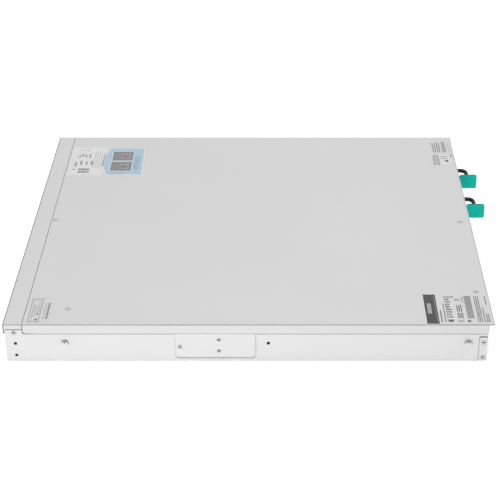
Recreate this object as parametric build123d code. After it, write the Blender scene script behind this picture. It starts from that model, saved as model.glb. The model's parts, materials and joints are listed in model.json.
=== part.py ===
from build123d import *
import os

# One-unit rack storage server: four hot-swap drives at the front, three fans and a mainboard behind
# them, and two hot-swap power supplies side by side at the rear.  Millimetres.
# +X is the server's left side seen from the front, +Y runs to the rear, +Z is up.
# The origin is the centre of the case's bottom face.

# ---- the case ----
WIDTH = 430.0                  # over the cover's side flanges
HEIGHT = 44.0                  # one rack unit less its clearance
DEPTH = 486.3                  # leading edge of the front strip to the cover's rear lip
COVER_SHEET = 1.0
CASE_SHEET = 1.2
SLIDE_GAP = 0.2                # between the cover's flanges and the case's walls
HALF_WIDTH = WIDTH / 2
WALL_OUT = HALF_WIDTH - COVER_SHEET - SLIDE_GAP
WALL_IN = WALL_OUT - CASE_SHEET
WALL_TOP = HEIGHT - COVER_SHEET - 0.3
PANEL_TOP = 41.9               # nothing inside stands higher, so the cover's screws pass over it
BEND = 0.4                     # outside radius of the walls' lower edges


def back(distance):
    """Y of a plane this far behind the front strip's leading edge."""
    return distance - DEPTH / 2


CASE_FRONT = back(1.2)
CASE_REAR = back(480.7)

# ---- cover and front strip ----
STRIP_FRONT = back(0.5)
STRIP_REAR = back(18.9)
STRIP_LIP_LOW = 38.4
STRIP_TONGUE_END = back(31.0)
COVER_FRONT = back(19.5)
FLANGE_FRONT = back(19.6)
FLANGE_REAR = back(481.0)
FLANGE_LOW = 33.5
FLANGE_CORNER = 3.0
LIP_DROP = 1.5                 # folded rear lip of the cover, clear of the supplies' tops
FOLD_R = 0.5                   # outside radius of the folded top edges
GROOVE_H = 0.4                 # relief groove just under each folded top edge
GROOVE_DEEP = 0.5
COVER_SCREWS = [(0.0, back(23.4)), (185.9, back(61.2)), (4.5, back(474.8)), (153.3, back(474.1))]
LABEL_THICK = 0.12

# ---- fasteners ----
HEAD_R = 2.7
HEAD_T = 0.7
SHANK_R = 1.45
SHANK_LONG = 1.2
HEAD_FIT = 0.2
RING_GAP = 0.35                # around the cover's screws
SCREW_HOLE_R = 1.5

# ---- interfaces on the side walls: (y, z) ----
EAR_HOLES = [(back(11.05), 21.0), (back(11.05), 7.2)]
EAR_HOLE_R = 1.75
SIDE_HOLE = (back(262.5), 21.3)
PLATE_HOLES = [(back(213.3), 26.2), (back(213.3), 13.1)]
PLATE_HOLE_R = 1.6
STRIP_SCREW = (back(10.4), 33.7)
PLATE_SCREW = (back(174.4), 18.0)
BRACKET_SCREWS = [(back(476.6), 22.3), (back(476.6), 4.7)]
STUDS = [(back(60.3), 21.9), (back(461.1), 21.9)]
STUD_NECK_R = 2.25
STUD_HEAD_R = 3.3
STUD_NECK_LONG = 2.2
STUD_HEAD_T = 1.2
PLATE_T = 1.2
PLATE_Y = (back(169.7), back(249.9))
PLATE_Z = (5.3, 33.1)
PLATE_CORNER = 3.6
SLIT = 0.9                     # open line between a wall's stepped top edge and the sheet above it
BRACKET_FRONT = back(472.2)
BRACKET_LOW = 0.3
BRACKET_TOP = 28.2
BRACKET_GAP = 0.6

# ---- drive bays ----
BAYS = 4
BAY_PITCH = 2 * WALL_IN / BAYS
TRAY_W = 104.6
TRAY_LOW = 1.8
TRAY_TOP = 32.6
TRAY_FRONT = back(2.5)
BEZEL_REAR = back(14.5)
TRAY_REAR = back(160.0)
TRAY_SHEET = 1.2
RAIL_TOP = 15.0
DRIVE_W = 101.6                # 3.5-inch drive
DRIVE_LONG = 147.0
DRIVE_H = 26.1
DRIVE_FRONT = back(18.0)
SOCKET_W = 33.0
SOCKET_LOW = 4.4
SOCKET_TOP = 9.1
LEVER_X = (-42.0, 33.4)        # pivot and free end, from the bay's centre
LEVER_Y = (back(3.0), back(7.0))
LEVER_Z = (7.6, 26.4)
LEVER_PIN_R = 1.0
LEVER_PIN_Z = (5.0, 27.6)
PIN_FIT = 0.05
BUTTON_X = (36.9, 46.1)
BUTTON_Z = (11.4, 22.6)
CAGE_REAR = back(168.0)
CAGE_TOP = 33.6
BACKPLANE_Y = back(173.0)
BOARD_T = 1.6
BUTTON_R = 2.6
POWER_BUTTON_AT = (190.0, 38.6)   # x, z

# ---- fans ----
FAN_SIZE = 39.6
FAN_LONG = 28.0
FAN_FRONT = back(187.2)
FAN_PLACES = [-135.0, 0.0, 135.0]
FAN_Z = 21.2
SUPPLY_FAN_SIZE = 36.4
SUPPLY_FAN_FRONT = back(449.0)
SHAFT_R = 1.5
SHAFT_FIT = 0.05
STATOR_LONG = 3.4

# ---- mainboard and its sockets ----
BOARD_Z = 7.2
BOARD_TOP = BOARD_Z + BOARD_T
JACKS_X = (-20.0, 46.0)
JACK_COUNT = 4
USB_X = (-50.0, -35.0)

# ---- power supplies ----
SUPPLY_PLACES = [-175.0, -100.0]
SUPPLY_W = 73.5
SUPPLY_LONG = 185.0
SUPPLY_LOW = 2.3
SUPPLY_TOP = 41.1
SUPPLY_REAR = back(480.15)
SUPPLY_FRONT = SUPPLY_REAR - SUPPLY_LONG
HANDLE_R = 2.4
HANDLE_BEND = 6.5
HANDLE_Z = 20.7
HANDLE_LEGS = (6.4, 26.0)      # from the supply's centre
HANDLE_BAR = back(502.0)
LATCH_X = (32.6, 36.6)         # from the supply's centre
LATCH_Z = (11.9, 28.8)
LATCH_ARM_Z = (14.3, 25.7)
LATCH_PADDLE = (back(491.4), back(512.2))
LATCH_PIVOT = (34.4, back(472.0))
INLET_X = -20.0                # from the supply's centre
INLET_Z = 21.7
LATCH_PIN_R = 0.9
SUPPLY_FAN_X = 13.4            # from the supply's centre
SUPPLY_FAN_Z = (SUPPLY_LOW + SUPPLY_TOP) / 2
SUPPLY_SHEET = 1.0
TONGUE_Z = (6.0, 7.6)


def block(x0, x1, y0, y1, z0, z1):
    """A box between two opposite corners."""
    middle = Pos((x0 + x1) / 2, (y0 + y1) / 2, (z0 + z1) / 2)
    return middle * Box(abs(x1 - x0), abs(y1 - y0), abs(z1 - z0))


def rod_x(x0, x1, y, z, radius):
    return Pos((x0 + x1) / 2, y, z) * Rot(0, 90, 0) * Cylinder(radius, abs(x1 - x0))


def rod_y(x, y0, y1, z, radius):
    return Pos(x, (y0 + y1) / 2, z) * Rot(90, 0, 0) * Cylinder(radius, abs(y1 - y0))


def rod_z(x, y, z0, z1, radius):
    return Pos(x, y, (z0 + z1) / 2) * Cylinder(radius, abs(z1 - z0))


def save(name, *solids):
    """Write one node: a single solid, or a group of separate ones."""
    shape = solids[0] if len(solids) == 1 else Compound(children=list(solids))
    export_step(shape, f"parts/{name}.step")


def side_screw(side, face, y, z):
    """Low-head cross-slot screw driven into a side wall; face is the wall's outside X."""
    screw = rod_x(side * (face - HEAD_T), side * face, y, z, HEAD_R)
    screw += rod_x(side * (face - HEAD_T - SHANK_LONG), side * (face - HEAD_T), y, z, SHANK_R)
    for long_y, long_z in ((3.2, 0.8), (0.8, 3.2)):
        slot = block(face - 0.45, face + 1, y - long_y / 2, y + long_y / 2, z - long_z / 2, z + long_z / 2)
        screw -= slot if side > 0 else mirror(slot, Plane.YZ)
    return screw


def side_seat(side, face, y, z):
    """Counterbored hole that a side screw sits in."""
    seat = rod_x(side * (face - HEAD_T), side * (face + 1), y, z, HEAD_R + HEAD_FIT)
    return seat + rod_x(side * (face - 4), side * (face + 1), y, z, SCREW_HOLE_R)


def plate_yz(side, inner, outer, y0, y1, z0, z1, corner):
    """Upright plate parallel to the side walls, with rounded corners."""
    plate = block(side * inner, side * outer, y0, y1, z0, z1)
    return fillet(plate.edges().filter_by(Axis.X), corner)


# ---------------------------------------------------------------- case

def floor_pan():
    """Floor sheet between the side walls, with pressed-in standoffs for the mainboard."""
    floor = block(-WALL_IN, WALL_IN, CASE_FRONT, CASE_REAR, 0, CASE_SHEET)
    for x in (-48.0, 75.0, 200.0):
        for y in (back(236.0), back(440.0)):
            floor += rod_z(x, y, CASE_SHEET, BOARD_Z, 3.0)
    return floor


def side_wall(side):
    """Side wall with a stepped top edge, its holes, and a notch for the rear bracket."""
    wall = block(side * WALL_IN, side * WALL_OUT, CASE_FRONT, CASE_REAR, 0, WALL_TOP)
    low_edge = wall.edges().filter_by(Axis.Y).group_by(Axis.Z)[0].sort_by(Axis.X)[-1 if side > 0 else 0]
    wall = fillet(low_edge, BEND)
    through = (side * (WALL_IN - 1), side * (WALL_OUT + 1))
    wall -= block(*through, CASE_FRONT - 1, back(19.4), STRIP_LIP_LOW - SLIT, HEIGHT)
    wall -= block(*through, back(19.4), back(28.0), FLANGE_LOW - SLIT, HEIGHT)
    wall -= block(*through, BRACKET_FRONT - BRACKET_GAP, CASE_REAR + 1, -1, BRACKET_TOP + 1.0)
    wall -= block(*through, back(479.6), CASE_REAR + 1, BRACKET_TOP, HEIGHT)
    for y, z in EAR_HOLES + [SIDE_HOLE]:
        wall -= rod_x(*through, y, z, EAR_HOLE_R)
    for y, z in PLATE_HOLES:
        wall -= rod_x(*through, y, z, PLATE_HOLE_R)
    wall -= side_seat(side, WALL_OUT, *STRIP_SCREW)
    return wall - rod_x(*through, *PLATE_SCREW, SCREW_HOLE_R)


def rear_panel():
    """Upright sheet over the sockets and the expansion slot, beside the supplies."""
    low_x = -61.4
    panel = block(low_x, WALL_IN - 0.75, CASE_REAR - CASE_SHEET, CASE_REAR, 1.4, PANEL_TOP)
    through = (CASE_REAR - 5, CASE_REAR + 1)
    panel -= block(JACKS_X[0] - 0.4, JACKS_X[1] + 0.4, *through, 8.4, 22.8)
    panel -= block(USB_X[0] - 0.4, USB_X[1] + 0.4, *through, 8.4, 25.2)
    panel -= block(106, 196, *through, 17, 31)
    hole_r = 2.0
    pitch = 6.2
    for row in range(5):
        for column in range(6):
            x = 58.0 + pitch * (column + 0.5 * (row % 2))
            panel -= rod_y(x, *through, 9.0 + row * pitch * 0.9, hole_r)
    for column in range(16):
        panel -= rod_y(-52.0 + pitch * column, *through, 35.0, hole_r)
    panel -= rod_y(-27.5, *through, 12.0, 0.9)
    return panel


def rear_bracket(side):
    """Corner bracket: its face fills the notch in the side wall, its back lies inside the wall."""
    bracket = plate_yz(side, WALL_IN, WALL_OUT, BRACKET_FRONT, back(480.4), BRACKET_LOW, BRACKET_TOP, 2.4)
    bracket += block(side * (WALL_IN - 0.65), side * WALL_IN, back(466), back(479.4), 2.0, 40.0)
    for y, z in BRACKET_SCREWS:
        bracket -= side_seat(side, WALL_OUT, y, z)
    return bracket


def fold_edges(sheet):
    """Round both long top edges and cut the relief groove under each."""
    sheet = fillet(sheet.edges().filter_by(Axis.Y).group_by(Axis.Z)[-1], FOLD_R)
    groove_top = HEIGHT - FOLD_R
    for side in (-1, 1):
        across = (side * (HALF_WIDTH - GROOVE_DEEP), side * (HALF_WIDTH + 1))
        sheet -= block(*across, back(-1), back(DEPTH + 1), groove_top - GROOVE_H, groove_top)
    return sheet


def front_strip():
    """Fixed strip over the drive bays, with side lips and a tongue under the cover's edge."""
    strip = block(-HALF_WIDTH, HALF_WIDTH, STRIP_FRONT, STRIP_REAR, HEIGHT - COVER_SHEET, HEIGHT)
    for side in (-1, 1):
        lip = (side * (HALF_WIDTH - COVER_SHEET), side * HALF_WIDTH)
        strip += block(*lip, CASE_FRONT, STRIP_REAR, STRIP_LIP_LOW, HEIGHT)
    strip = fold_edges(strip)
    tongue_low = HEIGHT - 2.2
    tongue_half = 205.0
    riser = STRIP_REAR - 4
    strip += block(-tongue_half, tongue_half, riser, STRIP_REAR, tongue_low, HEIGHT - 0.5)
    strip += block(-tongue_half, tongue_half, riser, STRIP_TONGUE_END, tongue_low, tongue_low + 1.0)
    x, y = COVER_SCREWS[0]
    strip -= block(x - 1.9, x + 1.9, y - 1.9, STRIP_TONGUE_END + 1, tongue_low - 1, tongue_low + 1.2)
    return strip


def front_frame():
    """Status strip above the drives: flange with a bead before the strip, and the button's body."""
    frame = block(-214.6, 214.6, back(0), CASE_FRONT, 33.3, HEIGHT - COVER_SHEET - 0.1)
    frame += block(-214.6, 214.6, back(0), STRIP_FRONT, 40.0, HEIGHT - 0.3)
    frame += block(-(WALL_IN - 0.3), WALL_IN - 0.3, CASE_FRONT, back(9.0), 35.5, 41.7)
    x, z = POWER_BUTTON_AT
    return frame - rod_y(x, back(-1), back(10), z, BUTTON_R + 0.3)


def power_button():
    x, z = POWER_BUTTON_AT
    cap = rod_y(x, back(0.3), back(8.0), z, BUTTON_R)
    return fillet(cap.edges().group_by(Axis.Y)[0], 0.4)


def side_plate(side):
    """Raised reinforcing plate from the flange down, half-way along the wall, tapped for the rack rails."""
    face = WALL_OUT + PLATE_T
    plate = block(side * WALL_OUT, side * face, *PLATE_Y, *PLATE_Z)
    plate = fillet(plate.edges().filter_by(Axis.X).group_by(Axis.Z)[0], PLATE_CORNER)
    rim = plate.faces().sort_by(Axis.X)[-1 if side > 0 else 0].edges()
    plate = fillet(rim, 0.5)
    for y, z in PLATE_HOLES:
        plate -= rod_x(side * (WALL_OUT - 1), side * (face + 1), y, z, PLATE_HOLE_R)
    plate -= side_seat(side, face, *PLATE_SCREW)
    return plate


def rail_stud(side, y, z):
    """Shoulder stud that a rack rail's keyhole slot hooks over."""
    neck_end = WALL_OUT + STUD_NECK_LONG
    head = rod_x(side * neck_end, side * (neck_end + STUD_HEAD_T), y, z, STUD_HEAD_R)
    head = fillet(head.edges().filter_by(GeomType.CIRCLE), 0.35)
    return head + rod_x(side * WALL_OUT, side * neck_end, y, z, STUD_NECK_R)


def build_case():
    save("floor_pan", floor_pan())
    save("side_walls", *[side_wall(side) for side in (-1, 1)])
    save("rear_panel", rear_panel())
    save("rear_brackets", *[rear_bracket(side) for side in (-1, 1)])
    save("front_strip", front_strip())
    save("front_frame", front_frame())
    save("power_button", power_button())
    save("side_plates", *[side_plate(side) for side in (-1, 1)])
    save("rail_studs", *[rail_stud(side, y, z) for side in (-1, 1) for y, z in STUDS])
    screws = []
    for side in (-1, 1):
        screws.append(side_screw(side, WALL_OUT, *STRIP_SCREW))
        screws.append(side_screw(side, WALL_OUT + PLATE_T, *PLATE_SCREW))
        for y, z in BRACKET_SCREWS:
            screws.append(side_screw(side, WALL_OUT, y, z))
    save("chassis_screws", *screws)


# ---------------------------------------------------------------- cover

def top_cover():
    """Slide-off cover: flat sheet, side flanges with a rounded front corner, folded rear lip."""
    under = HEIGHT - COVER_SHEET
    cover = block(-HALF_WIDTH, HALF_WIDTH, COVER_FRONT, back(DEPTH), under, HEIGHT)
    for side in (-1, 1):
        outer = (side * (HALF_WIDTH - COVER_SHEET), side * HALF_WIDTH)
        flange = block(*outer, FLANGE_FRONT, FLANGE_REAR, FLANGE_LOW, HEIGHT - 0.2)
        corner = flange.edges().filter_by(Axis.X).group_by(Axis.Z)[0]
        cover += fillet(corner.sort_by(Axis.Y)[0], FLANGE_CORNER)
    lip_half = HALF_WIDTH - 4
    cover += block(-lip_half, lip_half, back(DEPTH) - COVER_SHEET, back(DEPTH), under - LIP_DROP, under)
    cover = fold_edges(cover)
    for x, y in COVER_SCREWS:
        cover -= rod_z(x, y, HEIGHT - HEAD_T, HEIGHT + 1, HEAD_R + RING_GAP)
        cover -= rod_z(x, y, under - 1, HEIGHT, SCREW_HOLE_R)
    return cover


def cover_screw(x, y):
    screw = rod_z(x, y, HEIGHT - HEAD_T, HEIGHT, HEAD_R)
    screw += rod_z(x, y, PANEL_TOP + 0.2, HEIGHT - HEAD_T, SHANK_R)
    for long_x, long_y in ((3.2, 0.8), (0.8, 3.2)):
        half_x = long_x / 2
        half_y = long_y / 2
        screw -= block(x - half_x, x + half_x, y - half_y, y + half_y, HEIGHT - 0.45, HEIGHT + 1)
    return screw


def cover_labels():
    """Four printed labels on the cover, each a thin sheet: (x range, y range)."""
    places = [
        ((-186.0, -110.0), (back(21.0), back(111.0))),
        ((165.0, 213.0), (back(20.5), back(47.5))),
        ((158.8, 213.3), (back(419.0), back(485.0))),
        ((-205.0, -135.0), (back(458.0), back(482.0))),
    ]
    return [block(*xs, *ys, HEIGHT, HEIGHT + LABEL_THICK) for xs, ys in places]


def build_cover():
    save("top_cover", top_cover())
    save("cover_screws", *[cover_screw(x, y) for x, y in COVER_SCREWS])
    save("cover_labels", *cover_labels())


# ---------------------------------------------------------------- drives

def drive_tray(x):
    """Bezel with a lever recess, button well and vents, in front of a floor and two rails."""
    half = TRAY_W / 2
    tray = block(x - half, x + half, TRAY_FRONT, BEZEL_REAR, TRAY_LOW, TRAY_TOP)
    recess_rear = back(8.6)
    tray -= block(x - 46, x + 34, TRAY_FRONT - 1, recess_rear, 7.2, 26.8)
    tray -= block(x + BUTTON_X[0] - 0.3, x + BUTTON_X[1] + 0.3, TRAY_FRONT - 1, back(12.0),
                  BUTTON_Z[0] - 0.3, BUTTON_Z[1] + 0.3)
    tray -= rod_z(x + LEVER_X[0], sum(LEVER_Y) / 2, LEVER_PIN_Z[0] - 0.1, LEVER_PIN_Z[1] + 0.1,
                  LEVER_PIN_R + PIN_FIT)
    for column in range(6):
        slot_x = x - 32.5 + 11.0 * column
        tray -= block(slot_x, slot_x + 9, TRAY_FRONT - 1, BEZEL_REAR + 1, 28.6, 30.8)
        tray -= block(slot_x, slot_x + 9, recess_rear - 1, BEZEL_REAR + 1, 11.0, 23.0)
    tray += block(x - half + 0.2, x + half - 0.2, BEZEL_REAR, TRAY_REAR, TRAY_LOW, TRAY_LOW + TRAY_SHEET)
    for side in (-1, 1):
        rail = (x + side * (half - 0.2), x + side * (half - 0.2 - TRAY_SHEET))
        tray += block(*rail, BEZEL_REAR, TRAY_REAR, TRAY_LOW, RAIL_TOP)
    return tray


def hard_drive(x):
    """Drive block with a stepped lid and the connector mouth at its rear lower edge."""
    half = DRIVE_W / 2
    low = TRAY_LOW + TRAY_SHEET
    rear = DRIVE_FRONT + DRIVE_LONG
    drive = block(x - half, x + half, DRIVE_FRONT, rear, low, low + DRIVE_H - 2)
    lid = block(x - half + 3, x + half - 3, DRIVE_FRONT + 4, rear - 12, low + DRIVE_H - 2, low + DRIVE_H)
    drive += fillet(lid.edges().filter_by(Axis.Z), 8.0)
    mouth_half = SOCKET_W / 2 + 0.5
    drive -= block(x - mouth_half, x + mouth_half, rear - 6.2, rear + 1, SOCKET_LOW - 0.4, SOCKET_TOP + 0.4)
    return drive


def tray_lever(x):
    """Pull-out lever that swings about its pin at one end, pierced with vent slots."""
    pivot_x = x + LEVER_X[0]
    pivot_y = sum(LEVER_Y) / 2
    lever = block(pivot_x, x + LEVER_X[1], *LEVER_Y, *LEVER_Z)
    lever += rod_z(pivot_x, pivot_y, *LEVER_Z, (LEVER_Y[1] - LEVER_Y[0]) / 2)
    for column in range(6):
        slot_x = x - 33.0 + 10.4 * column
        lever -= block(slot_x, slot_x + 8, LEVER_Y[0] - 1, LEVER_Y[1] + 1, 11.6, 22.4)
    return lever + rod_z(pivot_x, pivot_y, *LEVER_PIN_Z, LEVER_PIN_R)


def tray_button(x):
    """Push button that frees the lever."""
    button = block(x + BUTTON_X[0], x + BUTTON_X[1], back(2.2), back(9.6), *BUTTON_Z)
    return fillet(button.faces().sort_by(Axis.Y)[0].edges(), 0.5)


def drive_cage():
    """Shelf over the bays with the upright dividers between them."""
    cage = block(-WALL_IN + 0.2, WALL_IN - 0.2, back(9.4), CAGE_REAR, CAGE_TOP, CAGE_TOP + 0.8)
    for index in range(1, BAYS):
        x = (index - BAYS / 2) * BAY_PITCH
        cage += block(x - 0.45, x + 0.45, back(4.0), CAGE_REAR, CASE_SHEET, CAGE_TOP + 0.8)
    for side in (-1, 1):
        cage -= rod_x(side * (WALL_IN - 1.2), side * WALL_IN, *STRIP_SCREW, SCREW_HOLE_R)
    return cage


def backplane():
    """Upright board behind the drives: air windows, and one drive socket per bay."""
    board = block(-209, 209, BACKPLANE_Y, BACKPLANE_Y + BOARD_T, 2.6, 40.0)
    for x in bay_centres():
        board -= block(x - 42, x + 42, BACKPLANE_Y - 1, BACKPLANE_Y + BOARD_T + 1, 14.0, 31.0)
        socket = (x - SOCKET_W / 2, x + SOCKET_W / 2)
        board += block(*socket, back(159.4), BACKPLANE_Y, SOCKET_LOW, SOCKET_TOP)
    return board


def bay_centres():
    return [(index - (BAYS - 1) / 2) * BAY_PITCH for index in range(BAYS)]


def build_drives():
    save("drive_cage", drive_cage())
    save("backplane", backplane())
    for number, x in enumerate(bay_centres(), start=1):
        save(f"drive_tray_{number}", drive_tray(x))
        save(f"hard_drive_{number}", hard_drive(x))
        save(f"tray_lever_{number}", tray_lever(x))
        save(f"tray_button_{number}", tray_button(x))


# ---------------------------------------------------------------- fans

def fan_frame(x, front, z, size):
    """Square fan housing: round duct, and a bearing hub on four struts at the outlet."""
    half = size / 2
    rear = front + FAN_LONG
    duct_r = half - 1.2
    frame = block(x - half, x + half, front, rear, z - half, z + half)
    frame -= rod_y(x, front - 1, rear + 1, z, duct_r)
    hub_r = half * 0.5
    frame += rod_y(x, rear - STATOR_LONG, rear, z, hub_r)
    for turn in range(4):
        strut = block(hub_r - 1, duct_r + 0.6, rear - 2.4, rear, -1.1, 1.1)
        frame += Pos(x, 0, z) * Rot(0, 45 + 90 * turn, 0) * strut
    frame -= rod_y(x, rear - STATOR_LONG - 1, rear + 1, z, SHAFT_R + SHAFT_FIT)
    return frame


def fan_rotor(x, front, z, size):
    """Rotor: hub, seven pitched blades, and the shaft that turns in the frame's bearing."""
    half = size / 2
    rear = front + FAN_LONG
    hub_r = half * 0.55
    blade_long = 15.0
    tip_r = half - 2.4
    rotor = rod_y(x, front + 2.0, rear - STATOR_LONG - 0.8, z, hub_r)
    blade = block(hub_r - 1, tip_r, -blade_long / 2, blade_long / 2, -0.6, 0.6)
    for turn in range(7):
        placed = Rot(0, turn * 360 / 7, 0) * Rot(32, 0, 0) * blade
        rotor += Pos(x, front + 12.0, z) * placed
    return rotor + rod_y(x, front + 4, rear - 0.4, z, SHAFT_R)


def fan_bracket():
    """Upright sheet that carries the three fans and closes the gaps between them."""
    bracket = block(-211, 211, FAN_FRONT - 1.2, FAN_FRONT - 0.2, CASE_SHEET, 40.8)
    for x in FAN_PLACES:
        bracket -= rod_y(x, FAN_FRONT - 3, FAN_FRONT + 1, FAN_Z, FAN_SIZE / 2 - 1.2)
    return bracket


def build_fans():
    save("fan_bracket", fan_bracket())
    for number, x in enumerate(FAN_PLACES, start=1):
        save(f"fan_frame_{number}", fan_frame(x, FAN_FRONT, FAN_Z, FAN_SIZE))
        save(f"fan_rotor_{number}", fan_rotor(x, FAN_FRONT, FAN_Z, FAN_SIZE))


# ---------------------------------------------------------------- mainboard

def heatsink():
    """Finned block over the processor."""
    x0, x1 = 40.0, 112.0
    y0, y1 = back(300.0), back(372.0)
    sink = block(x0, x1, y0, y1, BOARD_TOP, BOARD_TOP + 5)
    fins = 13
    step = (x1 - x0 - 1.6) / (fins - 1)
    for index in range(fins):
        sink += block(x0 + index * step, x0 + index * step + 1.6, y0, y1, BOARD_TOP, 36.0)
    return sink


def memory_module(y):
    """Memory stick lying flat in its socket."""
    module = block(130, 202, y, y + 7, BOARD_TOP, BOARD_TOP + 5.2)
    return module + block(132, 200, y + 6, y + 34, BOARD_TOP + 3, BOARD_TOP + 4.2)


def network_jacks():
    """Row of network sockets with open mouths."""
    rear = CASE_REAR + 0.2
    jacks = block(*JACKS_X, rear - 21, rear, BOARD_TOP, 22.4)
    pitch = (JACKS_X[1] - JACKS_X[0]) / JACK_COUNT
    for index in range(JACK_COUNT):
        x = JACKS_X[0] + pitch * (index + 0.5)
        jacks -= block(x - 6, x + 6, rear - 14, rear + 1, 11.8, 20.0)
    return jacks


def usb_ports():
    """Two stacked sockets, each with its contact tongue."""
    rear = CASE_REAR + 0.2
    ports = block(*USB_X, rear - 18, rear, BOARD_TOP, 24.8)
    x0 = USB_X[0] + 1.2
    x1 = USB_X[1] - 1.2
    for low in (10.0, 18.4):
        ports -= block(x0, x1, rear - 14, rear + 1, low, low + 5.2)
        ports += block(x0 + 0.9, x1 - 0.9, rear - 15, rear - 1.5, low + 2.9, low + 4.7)
    return ports


def slot_cover():
    """Blanking plate of the expansion slot, fixed inside the rear panel."""
    plate = block(102, 200, CASE_REAR - CASE_SHEET - 0.9, CASE_REAR - CASE_SHEET, 13.0, 34.0)
    for row in range(3):
        for column in range(12):
            x = 112.0 + 7.0 * column
            low = 18.6 + 4.0 * row
            plate -= block(x, x + 4.6, CASE_REAR - 5, CASE_REAR, low, low + 2.4)
    return plate


def build_mainboard():
    board = block(-56, 209, back(226.0), back(458.0), BOARD_Z, BOARD_TOP)
    board += block(USB_X[0] - 4, JACKS_X[1] + 4, back(457.0), back(477.0), BOARD_Z, BOARD_TOP)
    save("mainboard", board)
    save("heatsink", heatsink())
    save("memory_modules", *[memory_module(y) for y in (back(262.0), back(304.0))])
    save("network_jacks", network_jacks())
    save("usb_ports", usb_ports())
    save("slot_cover", slot_cover())


# ---------------------------------------------------------------- power supplies

def psu_cage():
    """Sheet under both supplies with the upright walls that guide them."""
    front = back(292.0)
    rear = back(478.0)
    floor_top = CASE_SHEET + 0.8
    cage = block(-212.4, -62.1, front, rear, CASE_SHEET, floor_top)
    for x0 in (-137.9, -62.9):
        cage += block(x0, x0 + 0.8, front, rear, CASE_SHEET, 40.8)
    return cage


def power_board():
    """Upright board that joins both supplies: one edge socket for each."""
    face = back(285.6)
    board = block(-211, -64, face - BOARD_T, face, 2.6, 40.0)
    for x in SUPPLY_PLACES:
        socket = block(x - 22, x + 22, face, back(294.4), 2.6, 11.2)
        board += socket - block(x - 20.5, x + 20.5, back(287.4), back(295), TONGUE_Z[0] - 0.4, TONGUE_Z[1] + 0.4)
    return board


def supply_case(x):
    """Sheet-steel box: grille and inlet opening at the rear, latch slot and its hinge lugs."""
    half = SUPPLY_W / 2
    case = block(x - half, x + half, SUPPLY_FRONT, SUPPLY_REAR, SUPPLY_LOW, SUPPLY_TOP)
    inside = SUPPLY_SHEET
    case -= block(x - half + inside, x + half - inside, SUPPLY_FRONT + inside, SUPPLY_REAR - inside,
                  SUPPLY_LOW + inside, SUPPLY_TOP - inside)
    case -= block(x - 20.5, x + 20.5, SUPPLY_FRONT - 1, SUPPLY_FRONT + 2, 4.6, 9.0)
    rear_cut = (SUPPLY_REAR - 3, SUPPLY_REAR + 1)
    case -= block(x + INLET_X - 13.7, x + INLET_X + 13.7, *rear_cut, INLET_Z - 10.1, INLET_Z + 10.1)
    fan_x = x + SUPPLY_FAN_X
    for row in range(7):
        z = SUPPLY_FAN_Z + (row - 3) * 4.6
        if abs(z - HANDLE_Z) < 4.5:
            continue
        case -= block(fan_x - 15, fan_x + 15, *rear_cut, z - 1.5, z + 1.5)
    case -= block(x + 31.4, x + 35.8, *rear_cut, 13.0, 27.0)
    lug_x = (x + LATCH_PIVOT[0] - 1.5, x + half - inside)
    lug_y = (LATCH_PIVOT[1] - 1.5, LATCH_PIVOT[1] + 1.5)
    for lug_z in ((10.6, 14.0), (26.0, 29.4)):
        case += block(*lug_x, *lug_y, *lug_z)
    case -= rod_z(x + LATCH_PIVOT[0], LATCH_PIVOT[1], 10.0, 30.0, LATCH_PIN_R + PIN_FIT)
    for post_x in (x - 30, x + 30):
        for post_y in (SUPPLY_FRONT + 12, SUPPLY_FRONT + 130):
            case += rod_z(post_x, post_y, SUPPLY_LOW + 0.5, TONGUE_Z[0], 2.0)
    return case


def supply_handle(x):
    """Bail bent from round rod, with a collar where each leg meets the supply."""
    left, right = (x + leg for leg in HANDLE_LEGS)
    start = Vector(left, SUPPLY_REAR, HANDLE_Z)
    corner_1 = Vector(left, HANDLE_BAR, HANDLE_Z)
    corner_2 = Vector(right, HANDLE_BAR, HANDLE_Z)
    end = Vector(right, SUPPLY_REAR, HANDLE_Z)
    path = FilletPolyline(start, corner_1, corner_2, end, radius=HANDLE_BEND)
    section = Plane(origin=start, z_dir=(0, 1, 0)) * Circle(HANDLE_R)
    bail = sweep(section, path=path)
    for leg in (left, right):
        bail += rod_y(leg, SUPPLY_REAR, SUPPLY_REAR + 1.6, HANDLE_Z, HANDLE_R + 1.2)
    return bail


def supply_inlet(x):
    """Mains inlet: flanged housing, open mouth and three recessed pins."""
    centre = x + INLET_X
    inlet = block(centre - 13.4, centre + 13.4, back(462.0), SUPPLY_REAR, INLET_Z - 9.8, INLET_Z + 9.8)
    flange = block(centre - 15.4, centre + 15.4, SUPPLY_REAR, SUPPLY_REAR + 1.6, INLET_Z - 11.6, INLET_Z + 11.6)
    inlet += fillet(flange.edges().filter_by(Axis.Y), 2.0)
    mouth = block(centre - 12.1, centre + 12.1, back(465.0), SUPPLY_REAR + 3, INLET_Z - 8.2, INLET_Z + 8.2)
    mouth = chamfer(mouth.edges().filter_by(Axis.Y).group_by(Axis.Z)[-1], 4.0)
    inlet -= mouth
    pin_end = SUPPLY_REAR - 3.4
    for pin_x, pin_z in ((-7.0, -2.0), (0.0, 2.4), (7.0, -2.0)):
        pin = (centre + pin_x - 1.0, centre + pin_x + 1.0)
        inlet += block(*pin, back(463.0), pin_end, INLET_Z + pin_z - 2.0, INLET_Z + pin_z + 2.0)
    return inlet


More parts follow.
